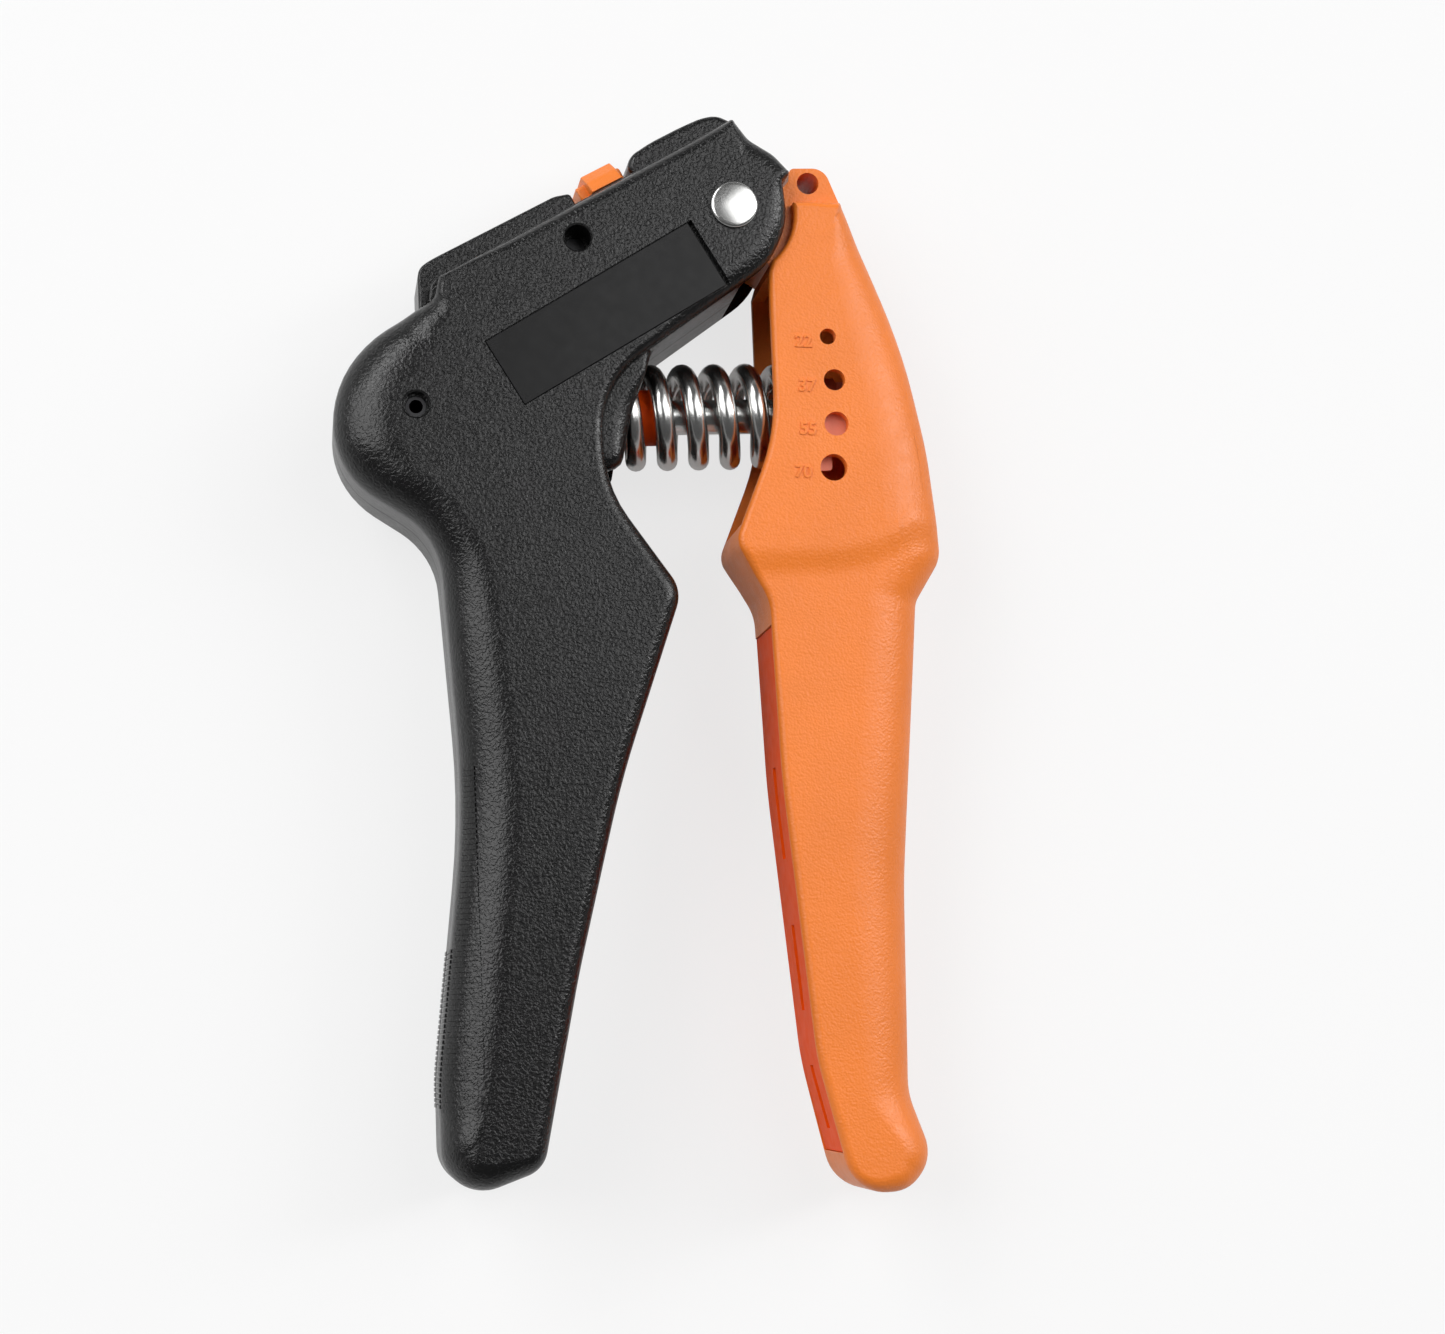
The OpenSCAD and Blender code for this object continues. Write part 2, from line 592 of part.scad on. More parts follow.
module compression_spring() color("silver") polyhedron(
    points = [for (i = [0:rings]) each ring(i)],
    faces = concat([for (i = [0:rings - 1]) for (k = [0:wire_sides - 1]) each tube_face(i, k)],
                   [for (k = [1:wire_sides - 2]) [0, k + 1, k]],
                   [for (k = [1:wire_sides - 2]) [for (j = [0, k, k + 1]) rings*wire_sides + j]]));

front_shell();
back_shell();
label_plate();
case_screws();
pivot_rivet();
rivet_collar();
hinge_washers();
trunnion_pin();
lock_pin();
lock_lever();
detent_spring();
moving_handle();
inner_cover();
position_rack();
pivot_bush();
swing_seat();
guide_sleeve();
seat_washer();
compression_spring();
guide_rod();
spring_carrier();
carrier_pin();
carrier_washer();
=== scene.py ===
"""Looks of an adjustable hand grip strengthener, built round its CAD frame, in metres."""

import json
import math

import bmesh
import bpy
from bpy.props import FloatProperty, FloatVectorProperty, IntProperty, PointerProperty
from mathutils import Matrix, Vector


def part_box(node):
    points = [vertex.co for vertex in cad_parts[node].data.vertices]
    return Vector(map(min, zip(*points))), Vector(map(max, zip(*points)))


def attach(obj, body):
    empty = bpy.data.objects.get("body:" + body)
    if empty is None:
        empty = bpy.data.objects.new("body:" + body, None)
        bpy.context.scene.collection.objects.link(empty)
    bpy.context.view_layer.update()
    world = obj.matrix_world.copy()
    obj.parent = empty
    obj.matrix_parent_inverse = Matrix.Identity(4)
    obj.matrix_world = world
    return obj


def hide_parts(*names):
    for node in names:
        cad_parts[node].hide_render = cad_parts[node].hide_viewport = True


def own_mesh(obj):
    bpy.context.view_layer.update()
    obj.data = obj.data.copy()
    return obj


bl_info = {
    "name": "Hand Grip Strengthener",
    "version": (1, 0, 0),
    "blender": (4, 5, 0),
    "location": "View3D > Sidebar > Grip",
    "description": "Gives the frame of a hand grip strengthener its rounded shells, coil and finishes",
    "category": "Object",
}

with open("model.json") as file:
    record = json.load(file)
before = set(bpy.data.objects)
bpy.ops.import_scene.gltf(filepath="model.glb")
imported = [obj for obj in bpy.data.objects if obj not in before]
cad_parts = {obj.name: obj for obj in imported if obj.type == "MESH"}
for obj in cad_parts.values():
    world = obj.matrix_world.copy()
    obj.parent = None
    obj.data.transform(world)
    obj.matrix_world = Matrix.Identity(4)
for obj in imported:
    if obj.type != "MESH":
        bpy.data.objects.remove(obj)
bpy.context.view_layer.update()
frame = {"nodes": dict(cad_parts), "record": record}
finishes = {}  # material slot -> finish

# Places and heights of the plan are in millimetres here, as in every list of points below.
MM = 0.001
MIDDLE = 13.0  # height of the plane both halves share
CASE_TOP = 26.0
HANDLE_TOP = 23.4
SUNK = 0.02  # how far a rounded face lies below the flat one of the frame
RIDGE_ANGLE = math.radians(27)
LABEL = Vector((-19.4, -16))  # the label's middle
LABEL_ANGLE = math.radians(30)
SEAT = Vector((-47.6, -29.2))  # the spring's pivot
LOCK = Vector((-23.3, -4.7))  # the lock lever's pin

CUT = 0.0001 * MM  # tolerance of a cut along a plane
WELD = 0.001 * MM  # points nearer than this are one
SHARP = math.radians(32)  # edges that bend more than this stay sharp

# Rolled edges, as (x, y, run, drop) in millimetres: near that point of the outline the edge
# is rounded over this width of the face and this height of the side.
CASE_ROLLS = [
    (0.5, 13.5, 1.0, 1.6),
    (-6.0, 10.2, 1.9, 2.9),
    (-31.8, -3.7, 1.8, 2.8),
    (-41.5, -8.8, 0.9, 1.8),
    (-43.8, -10.1, 0.5, 1.2),
    (-44.1, -11.6, 1.2, 1.4),
    (-44.6, -13.2, 3.4, 2.4),
    (-46.8, -14.4, 4.6, 3.8),
    (-50.0, -16.2, 7.4, 5.0),
    (-57.0, -20.5, 9.2, 6.0),
    (-59.6, -30.0, 9.6, 6.2),
    (-57.5, -40.0, 8.5, 6.0),
    (-52.0, -45.5, 6.5, 5.5),
    (-46.0, -47.8, 6.0, 5.2),
    (-44.0, -60.0, 8.0, 6.2),
    (-43.0, -90.0, 8.8, 7.0),
    (-46.5, -125.0, 8.8, 7.0),
    (-47.0, -138.0, 6.5, 6.0),
    (-44.5, -144.0, 4.5, 4.5),
    (-37.0, -144.0, 3.6, 3.6),
    (-33.0, -138.0, 2.4, 2.6),
    (-27.6, -112.0, 2.2, 2.4),
    (-20.0, -85.0, 2.2, 2.4),
    (-10.5, -57.0, 2.2, 2.2),
    (-20.2, -37.0, 1.5, 1.6),
    (-16.0, -22.0, 1.5, 1.7),
    (0.0, -12.2, 3.2, 2.0),
    (5.0, -8.5, 3.6, 2.0),
    (8.1, -1.0, 3.2, 2.0),
    (7.7, 3.6, 1.2, 1.3),
    (8.7, 5.4, 1.6, 1.6),
    (6.6, 7.8, 3.4, 2.2),
    (3.0, 10.7, 3.2, 2.4),
]
HANDLE_ROLLS = [
    (9.4, 1.0, 0.8, 0.9),
    (9.2, -2.0, 0.9, 1.0),
    (6.0, -7.6, 1.0, 1.1),
    (5.3, -20.0, 0.9, 0.9),
    (4.0, -38.0, 0.9, 0.9),
    (-0.9, -49.5, 1.1, 1.1),
    (3.4, -60.0, 1.0, 1.0),
    (4.3, -90.0, 1.2, 1.2),
    (7.4, -125.0, 1.2, 1.2),
    (11.5, -143.0, 1.4, 1.4),
    (19.0, -145.2, 3.0, 3.0),
    (25.0, -144.0, 4.5, 4.5),
    (21.8, -131.0, 7.5, 6.0),
    (22.5, -100.0, 9.2, 7.0),
    (25.5, -62.0, 8.4, 6.0),
    (29.8, -52.0, 8.6, 5.3),
    (28.8, -36.0, 8.8, 5.3),
    (26.0, -21.0, 8.4, 5.2),
    (20.5, -6.5, 6.0, 4.6),
    (17.2, 0.6, 3.4, 3.4),
    (15.4, 1.3, 1.2, 1.4),
    (11.5, 1.3, 0.8, 0.8),
]

# The same at the back, where the edge beside the open side of the grip is rounder.
HANDLE_LOW_ROLLS = [(x, y, 2.2, 2.2) if -140 < y < -55 and x < 10 else (x, y, run, drop)
                    for x, y, run, drop in HANDLE_ROLLS]


def at(x, y, z):
    """A point given in millimetres."""
    return Vector((x, y, z)) * MM


def ridge(s, d):
    """A point of the plan given along the case's ridge and square to it."""
    return Vector((s, d)) @ Matrix.Rotation(-RIDGE_ANGLE, 2)


def everything(bm):
    """All that a cut along a plane may have to divide."""
    return bm.verts[:] + bm.edges[:] + bm.faces[:]


def cad_copy(node):
    """A CAD node's mesh with its doubles merged and its flat faces whole."""
    bm = bmesh.new()
    bm.from_mesh(frame["nodes"][node].data)
    bmesh.ops.remove_doubles(bm, verts=bm.verts, dist=WELD)
    bmesh.ops.dissolve_limit(bm, angle_limit=math.radians(0.3), verts=bm.verts, edges=bm.edges)
    return bm


def put(name, bm, body, finish, replaced=()):
    """Makes a finished mesh an object with one finish, and lets it ride on its body."""
    for face in bm.faces:
        face.smooth = True
    for edge in bm.edges:
        edge.smooth = len(edge.link_faces) == 2 and edge.calc_face_angle(0.0) < SHARP
    mesh = bpy.data.meshes.new(name)
    bm.to_mesh(mesh)
    bm.free()
    mesh.materials.append(finishes[finish])
    obj = bpy.data.objects.new(name, mesh)
    bpy.context.scene.collection.objects.link(obj)
    normals = obj.modifiers.new("Flat faces stay flat", "WEIGHTED_NORMAL")
    normals.keep_sharp = True
    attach(obj, body)
    if replaced:
        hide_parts(*replaced)
    return obj


def combined(solid, tool, operation):
    """The first solid joined to the second, cut by it or kept inside it."""
    holders = []
    for bm in (solid, tool):
        mesh = bpy.data.meshes.new("solid")
        bm.to_mesh(mesh)
        bm.free()
        holders.append(bpy.data.objects.new("solid", mesh))
        bpy.context.scene.collection.objects.link(holders[-1])
    cut = holders[0].modifiers.new("Cut", "BOOLEAN")
    cut.operation, cut.object, cut.solver = operation, holders[1], "MANIFOLD"
    result = bmesh.new()
    result.from_object(holders[0], bpy.context.evaluated_depsgraph_get())
    for obj in holders:
        mesh = obj.data
        bpy.data.objects.remove(obj)
        bpy.data.meshes.remove(mesh)
    if not result.faces:
        raise RuntimeError(f"{operation} left nothing of a solid")
    return result


def prism(points, low, high):
    """A closed prism on a few points of the plan, between two heights."""
    bm = bmesh.new()
    base = bm.faces.new([bm.verts.new(at(*point, low)) for point in points])
    side = bmesh.ops.extrude_face_region(bm, geom=[base], use_keep_orig=True)["geom"]
    top = [v for v in side if isinstance(v, bmesh.types.BMVert)]
    bmesh.ops.translate(bm, verts=top, vec=at(0, 0, high - low))
    bmesh.ops.recalc_face_normals(bm, faces=bm.faces)
    return bm


def rounded(bm, width, segments):
    """The same solid with every edge rounded over a width in millimetres."""
    bmesh.ops.bevel(bm, geom=bm.edges[:], offset=width * MM, offset_type="OFFSET", segments=segments,
                    profile=0.5, affect="EDGES", material=-1, clamp_overlap=True)
    return bm


def turned(profile, steps, weld):
    """A surface of revolution about the Z axis, from (radius, height) in millimetres."""
    bm = bmesh.new()
    verts = [bm.verts.new(at(r, 0, z)) for r, z in profile]
    edges = [bm.edges.new(pair) for pair in zip(verts, verts[1:])]
    bmesh.ops.spin(bm, geom=verts + edges, cent=(0, 0, 0), axis=(0, 0, 1), dvec=(0, 0, 0), angle=math.tau,
                   steps=steps, use_merge=True, use_duplicate=False)
    bmesh.ops.remove_doubles(bm, verts=bm.verts, dist=weld)
    bmesh.ops.recalc_face_normals(bm, faces=bm.faces)
    return bm


def outline_at(node, height):
    """The outer outline of a CAD node at a height, anticlockwise, with a corner every millimetre."""
    bm = cad_copy(node)
    bmesh.ops.bisect_plane(bm, geom=everything(bm), dist=CUT, plane_co=at(0, 0, height),
                           plane_no=(0, 0, 1), clear_inner=True, clear_outer=True)
    longest, left = [], dict.fromkeys(bm.verts)
    while left:
        vert = left.popitem()[0]
        loop = [vert.co.xy]
        while True:
            ahead = [e.other_vert(vert) for e in vert.link_edges if e.other_vert(vert) in left]
            if not ahead:
                break
            vert = ahead[0]
            del left[vert]
            loop.append(vert.co.xy)
        if len(loop) > 2 and length(loop) > length(longest):
            longest = [p.copy() for p in loop]
    bm.free()
    area = sum(a.x * b.y - b.x * a.y for a, b in zip(longest, longest[1:] + longest[:1]))
    if area < 0:
        longest.reverse()
    return dense(longest, 1.0)


def dense(loop, step):
    """The same outline with a corner at least every step, in millimetres."""
    points = []
    for a, b in zip(loop, loop[1:] + loop[:1]):
        parts = max(1, math.ceil((b - a).length / (step * MM)))
        points += [a.lerp(b, k / parts) for k in range(parts)]
    return points


def length(loop):
    """How far it is round a closed loop."""
    return sum((b - a).length for a, b in zip(loop, loop[1:] + loop[:1]))


def eased(t):
    """From 0 to 1 with a soft start and a soft end."""
    return t * t * (3 - 2 * t)


def roll_sizes(points, rolls):
    """The run and drop of the rolled edge at every corner, eased from one given place to the next."""
    count = len(points)
    places = sorted(
        (min(range(count), key=lambda i: (points[i] - Vector((x, y)) * MM).length), run, drop)
        for x, y, run, drop in rolls
    )
    sizes = []
    for i in range(count):
        after = next((k for k, place in enumerate(places) if place[0] > i), 0)
        (start, run, drop), (end, next_run, next_drop) = places[after - 1], places[after]
        t = eased(((i - start) % count) / ((end - start) % count or count))
        sizes.append(((run + (next_run - run) * t) * MM, (drop + (next_drop - drop) * t) * MM))
    return sizes


def inward(points, sizes):
    """The inward direction at every corner, evened out over a stretch that grows with the roll."""
    reach = 1.6  # length of that stretch to either side, in widths of the roll
    count = len(points)
    sides = [points[(i + 1) % count] - points[i] for i in range(count)]
    squares = [Vector((-side.y, side.x)) for side in sides]
    found = []
    for i in range(count):
        total = squares[i] + squares[i - 1]
        for way in (1, -1):
            gone, k = 0.0, 1
            while gone < sizes[i][0] * reach and k < count // 4:
                j = (i + k) % count if way == 1 else (i - 1 - k) % count
                gone += sides[j].length
                total += squares[j]
                k += 1
        found.append(total.normalized())
    return found


def rolled_solid(points, rolls, low_rolls, low, high, skin, steps):
    """A closed solid on an outline, with its own rolled edges at the top and at the bottom.

    Its skin lies a hair inside the outline, so that it alone shows once a CAD solid is kept inside it.
    """
    turns = [math.pi / 2 * k / steps for k in range(steps + 1)]
    rings = []
    for level, up, given in ((low, 1, low_rolls), (high, -1, rolls)):
        sizes = roll_sizes(points, given)
        ways = inward(points, sizes)
        for turn in (reversed(turns) if up == 1 else turns):
            rings.append([(p + way * (skin + run * (1 - math.cos(turn))),
                           level * MM + up * drop * (1 - math.sin(turn)))
                          for p, way, (run, drop) in zip(points, ways, sizes)])
    bm = bmesh.new()
    order = bm.verts.layers.int.new("order")
    verts = []
    for i, (p, z) in enumerate(rings[0]):
        verts.append(bm.verts.new((p.x, p.y, z)))
        verts[-1][order] = i
    edges = [bm.edges.new((a, b)) for a, b in zip(verts, verts[1:] + verts[:1])]
    bmesh.ops.edgeloop_fill(bm, edges=edges)
    for ring in rings[1:]:
        grown = bmesh.ops.extrude_edge_only(bm, edges=edges)["geom"]
        edges = [g for g in grown if isinstance(g, bmesh.types.BMEdge)]
        for vert in (g for g in grown if isinstance(g, bmesh.types.BMVert)):
            p, z = ring[vert[order]]
            vert.co = (p.x, p.y, z)
    bmesh.ops.edgeloop_fill(bm, edges=edges)
    bmesh.ops.recalc_face_normals(bm, faces=bm.faces)
    return bm


def turned_over(bm):
    """The same solid with front and back exchanged about the middle plane."""
    for vert in bm.verts:
        vert.co.z = 2 * MIDDLE * MM - vert.co.z
    bmesh.ops.reverse_faces(bm, faces=bm.faces)
    return bm


def rim_cutter(places, height):
    """Cones that break the rims of round holes; a place is (x, y, radius) in millimetres."""
    flare, spare = 0.25, 0.2
    bm = bmesh.new()
    for x, y, radius in places:
        bmesh.ops.create_cone(bm, cap_ends=True, segments=48, radius1=(radius - spare) * MM,
                              radius2=(radius + flare + spare) * MM, depth=(2 * spare + flare) * MM,
                              matrix=Matrix.Translation(at(x, y, height - flare / 2)))
    return bm


# ---- Sizes and colours ----


class GripCaseProps(bpy.types.PropertyGroup):
    roll_steps: IntProperty(name="Roll steps", description="Facets across each rolled edge of the shells",
                            default=8, min=3, max=16)
    skin: FloatProperty(name="Skin", description="How far the rounded skin lies inside the CAD walls",
                        default=0.04 * MM, unit="LENGTH", precision=6)
    seam: FloatProperty(name="Seam", description="Width of the chamfer where the two shells meet",
                        default=0.22 * MM, unit="LENGTH", precision=6)
    rib_pitch: FloatProperty(name="Rib pitch", description="Distance between two grip ribs",
                             default=0.76 * MM, unit="LENGTH", precision=6)
    rib_height: FloatProperty(name="Rib height", description="How far the grip ribs stand out",
                              default=0.12 * MM, unit="LENGTH", precision=6)
    colour: FloatVectorProperty(name="Black", description="Colour of the grained case", subtype="COLOR",
                                default=(0.006, 0.006, 0.0062), size=3)


class GripHandleProps(bpy.types.PropertyGroup):
    step_down: FloatProperty(name="Step down", description="How much lower the grip lies than the plateau",
                             default=0.8 * MM, unit="LENGTH", precision=6)
    number_size: FloatProperty(name="Number size", description="Height of the setting numbers",
                               default=2.6 * MM, unit="LENGTH", precision=6)
    colour: FloatVectorProperty(name="Orange", description="Colour of the moving handle", subtype="COLOR",
                                default=(0.87, 0.215, 0.025), size=3)


class GripSpringProps(bpy.types.PropertyGroup):
    coil_radius: FloatProperty(name="Coil radius", description="From the coil's axis to the wire's centre",
                               default=6.42 * MM, unit="LENGTH", precision=6)
    wire_radius: FloatProperty(name="Wire radius", description="Half the wire's thickness",
                               default=1.58 * MM, unit="LENGTH", precision=6)
    open_turns: IntProperty(name="Open turns", description="Curls between the two closed end curls",
                            default=8, min=4, max=12)
    closed_pitch: FloatProperty(name="Closed pitch", description="Distance between the end curls",
                                default=3.55 * MM, unit="LENGTH", precision=6)
    steps: IntProperty(name="Steps", description="Facets round one curl", default=40, min=16, max=96)
    sides: IntProperty(name="Sides", description="Facets round the wire", default=16, min=8, max=32)


class GripStageProps(bpy.types.PropertyGroup):
    camera_place: FloatVectorProperty(name="Camera place", description="Where the camera stands",
                                      subtype="XYZ", unit="LENGTH", size=3,
                                      default=(-66.62 * MM, -121.14 * MM, 470.0 * MM))
    camera_turn: FloatVectorProperty(name="Camera turn", description="How the camera is turned",
                                     subtype="EULER", size=3,
                                     default=[math.radians(a) for a in (7.0074, -7.6666, -2.4046)])
    lens: FloatProperty(name="Lens", description="Focal length on a 36 mm wide frame, in millimetres",
                        default=77.6)
    floor_colour: FloatVectorProperty(name="Floor", description="Colour of the floor", subtype="COLOR",
                                      default=(0.8, 0.8, 0.8), size=3)
    right_power: FloatProperty(name="Right lamp", default=12.4,
                               description="Power of the lamp above on the right, in watts")
    edge_power: FloatProperty(name="Edge lamp", description="Power of the lamp low on the right, in watts",
                              default=8.5)
    left_power: FloatProperty(name="Left lamp", description="Power of the lamp above on the left, in watts",
                              default=10.0)
    top_power: FloatProperty(name="Top lamp", description="Power of the lamp beyond the hinge, in watts",
                             default=6.0)
    sky: FloatProperty(name="Sky", description="Strength of the even light from all round", default=0.1)


GROUPS = {"grip_case": GripCaseProps, "grip_handle": GripHandleProps,
          "grip_spring": GripSpringProps, "grip_stage": GripStageProps}


# ---- Finishes ----


class Nodes:
    """The nodes of one material, each fed by name."""

    def __init__(self, name):
        self.material = bpy.data.materials.new(name)
        self.material.use_nodes = True
        self.tree = self.material.node_tree
        self.shader = self.tree.nodes["Principled BSDF"]
        self.place = self.add("ShaderNodeTexCoord").outputs["Object"]

    def add(self, kind, inputs=(), **settings):
        """A new node whose inputs are given values or fed by other nodes."""
        node = self.tree.nodes.new(kind)
        for key, value in settings.items():
            setattr(node, key, value)
        for key, value in dict(inputs).items():
            if isinstance(value, bpy.types.NodeSocket):
                self.tree.links.new(value, node.inputs[key])
            else:
                node.inputs[key].default_value = value
        return node

    def shade(self, **values):
        """Sets or feeds the shader's own sockets, each named with _ for a space."""
        for key, value in values.items():
            socket = self.shader.inputs[key.replace("_", " ")]
            if isinstance(value, bpy.types.NodeSocket):
                self.tree.links.new(value, socket)
            else:
                socket.default_value = value

    def noise(self, size, detail=2.0, stretch=(1, 1, 1)):
        """Soft noise with patches about size millimetres across, drawn out where stretch is under 1."""
        place = self.place
        if stretch != (1, 1, 1):
            place = self.add("ShaderNodeMapping", {"Vector": place, "Scale": stretch}).outputs["Vector"]
        return self.add("ShaderNodeTexNoise", {"Vector": place, "Scale": 1 / (size * MM), "Detail": detail,
                                               "Roughness": 0.55}).outputs["Fac"]

    def spread(self, value, low, high, out_low, out_high):
        """The value with its range from low to high laid out over another one."""
        return self.add("ShaderNodeMapRange", {"Value": value, "From Min": low, "From Max": high,
                                               "To Min": out_low, "To Max": out_high}).outputs["Result"]

    def tinted(self, colour, value, dark, light):
        """The colour, a little darker and lighter from patch to patch."""
        ramp = self.add("ShaderNodeValToRGB", {"Fac": value})
        ramp.color_ramp.elements[0].position, ramp.color_ramp.elements[1].position = 0.3, 0.7
        ramp.color_ramp.elements[0].color = (*(c * dark for c in colour), 1)
        ramp.color_ramp.elements[1].color = (*(min(1, c * light) for c in colour), 1)
        return ramp.outputs["Color"]

    def bump(self, height, depth, strength=1.0, under=None):
        """Relief of that depth in millimetres."""
        inputs = {"Height": height, "Distance": depth * MM, "Strength": strength}
        if under is not None:
            inputs["Normal"] = under
        return self.add("ShaderNodeBump", inputs).outputs["Normal"]


def grained_black(name, colour):
    """Black moulded plastic with a fine, wrinkled leather grain."""
    n = Nodes(name)
    creases = n.add("ShaderNodeTexNoise", {"Vector": n.place, "Scale": 1 / (0.5 * MM), "Detail": 1.5,
                                           "Roughness": 0.5, "Distortion": 0.6}).outputs["Fac"]
    grain = n.bump(n.spread(creases, 0.38, 0.62, 0.0, 1.0), 0.042, 0.8)
    n.shade(Base_Color=n.tinted(colour, n.noise(9, 3.0), 0.92, 1.1),
            Roughness=n.spread(n.noise(2.4, 3.0), 0.3, 0.7, 0.22, 0.27), Normal=grain,
            Specular_IOR_Level=0.42)
    return n.material


def smooth_black(name, colour):
    """Black plastic with a smooth satin face."""
    n = Nodes(name)
    n.shade(Base_Color=n.tinted(colour, n.noise(5, 2.0), 0.9, 1.15),
            Roughness=n.spread(n.noise(1.6, 3.0), 0.3, 0.7, 0.21, 0.27),
            Normal=n.bump(n.noise(0.14), 0.003, 0.35), Specular_IOR_Level=0.22)
    return n.material


def moulded(name, colour, grain, depth, roughness, gloss=0.45):
    """Coloured moulded plastic with a sandy grain of that size and depth in millimetres."""
    n = Nodes(name)
    sand = n.add("ShaderNodeTexVoronoi", {"Vector": n.place, "Scale": 1 / (grain * MM), "Smoothness": 0.8},
                 feature="SMOOTH_F1").outputs["Distance"]
    first = n.bump(n.spread(sand, 0.1, 0.8, 1.0, 0.0), depth, 0.6)
    second = n.bump(n.noise(grain * 1.8, 2.0), depth * 1.6, 0.5, first)
    n.shade(Base_Color=n.tinted(colour, n.noise(14, 3.0), 0.96, 1.03),
            Roughness=n.spread(n.noise(2.2, 3.0), 0.3, 0.7, roughness - 0.05, roughness + 0.05),
            Normal=second, Specular_IOR_Level=gloss)
    return n.material


def metal(name, colour, roughness, stretch, depth):
    """Steel with fine lines of that depth in millimetres, drawn out where stretch is under 1."""
    n = Nodes(name)
    drawn = n.noise(0.25, 3.0, stretch)
    n.shade(Metallic=1.0, Base_Color=n.tinted(colour, n.noise(3.5, 3.0), 0.93, 1.05),
            Roughness=n.spread(drawn, 0.3, 0.7, roughness - 0.03, roughness + 0.04),
            Normal=n.bump(drawn, depth, 0.4))
    return n.material


class GRIP_OT_finishes(bpy.types.Operator):
    """Makes the finishes and gives every CAD node the one its slot asks for, but the lock pin blackened
    steel as painted shade
    """

    bl_idname = "grip.finishes"
    bl_label = "Finishes"

    def execute(self, context):
        black = tuple(context.scene.grip_case.colour)
        orange = tuple(context.scene.grip_handle.colour)
        along, even = (1, 1, 0.06), (1, 1, 1)
        finishes.update({
            "case_black": grained_black("grained black plastic", black),
            "label_black": smooth_black("smooth black plastic", (0.004, 0.004, 0.0042)),
            "orange": moulded("orange plastic", orange, grain=0.34, depth=0.055, roughness=0.4, gloss=0.5),
            "orange_dark": moulded("dark orange plastic", (0.96, 0.092, 0.004), grain=0.35, depth=0.008,
                                   roughness=0.5, gloss=0.08),
            "peach": moulded("peach plastic", (0.86, 0.3, 0.19), grain=0.35, depth=0.008, roughness=0.45),
            "nylon": moulded("nylon", (0.72, 0.70, 0.64), grain=0.3, depth=0.006, roughness=0.45),
            "steel": metal("steel", (0.55, 0.55, 0.54), 0.33, along, depth=0.004),
            "polished_steel": metal("polished steel", (0.62, 0.62, 0.61), 0.22, even, depth=0.0005),
            "black_steel": metal("blackened steel", (0.05, 0.05, 0.052), 0.38, along, depth=0.004),
        })
        slots = {part["node"]: part["material_slot"] for part in frame["record"]["subparts"]}
        slots["lock_pin"] = "black_steel"  # painted shade: blackened steel makes the pin at the bottom of its deep hole read dark
        for node, obj in frame["nodes"].items():
            for place in obj.material_slots:
                place.material = finishes[slots[node]]
        return {"FINISHED"}


# ---- Case ----


def cut_away(bm, place, normal):
    """The part of a solid behind a plane, closed again where it was cut."""
    cut = bmesh.ops.bisect_plane(bm, geom=everything(bm), dist=CUT, plane_co=place, plane_no=normal,
                                 clear_outer=True)["geom_cut"]
    bmesh.ops.edgeloop_fill(bm, edges=[g for g in cut if isinstance(g, bmesh.types.BMEdge)])
    bmesh.ops.recalc_face_normals(bm, faces=bm.faces)
    return bm


def ridge_bar(section, start, end):
    """A bar along the ridge, with a convex section given as (distance from the hinge line, height)."""
    bm = bmesh.new()
    for s in (start, end):
        for d, z in section:
            bm.verts.new(at(*ridge(s, d), z))
    bmesh.ops.convex_hull(bm, input=bm.verts)
    bmesh.ops.dissolve_limit(bm, angle_limit=math.radians(1), verts=bm.verts, edges=bm.edges)
    bmesh.ops.recalc_face_normals(bm, faces=bm.faces)
    return bm


def spine(gap):
    """The spine's solids: a narrow shelf beside the face, and a bar and a hump beside the lock tab.

    Each is symmetrical about the middle plane, and is cut so that only a hair of it crosses there.
    """
    shelf_top, bar_top, overlap = 23 - gap, 20 - gap, 0.05
    shelf = [ridge(6.7, 6), ridge(6.7, 12.2 - gap), ridge(-43.9, 11.2 - gap), (-44.85, -10.9),
             (-45.1, -12.5), (-45.3, -14.6), (-40, -16), ridge(-40, 6)]
    bar = [ridge(-42, 14.66), (-45.5, -6.85), (-46.3, -7.6), (-46.6, -8.6), (-46.6, -14.8),
           (-38, -14.8), ridge(-19.4, 6), ridge(-19.4 - gap, 13.98), ridge(-21.8, 14.7 - gap)]
    hump = [ridge(-9.8 + gap, 6), ridge(6.9, 6), ridge(7.8, 12.4), ridge(6.05, 14.46),
            ridge(3.9, 15.16), ridge(0.5, 15.4 - gap), ridge(-4.7, 15.4 - gap), ridge(-8.4, 14.96),
            ridge(-9.76, 13.76)]
    for plan, top, round_off in ((shelf, shelf_top, 0.3), (bar, bar_top, 1.5), (hump, bar_top, 1.5)):
        whole = rounded(prism(plan, 2 * MIDDLE - top, top), round_off, 4)
        yield turned_over(cut_away(whole, at(0, 0, MIDDLE - overlap), (0, 0, 1)))


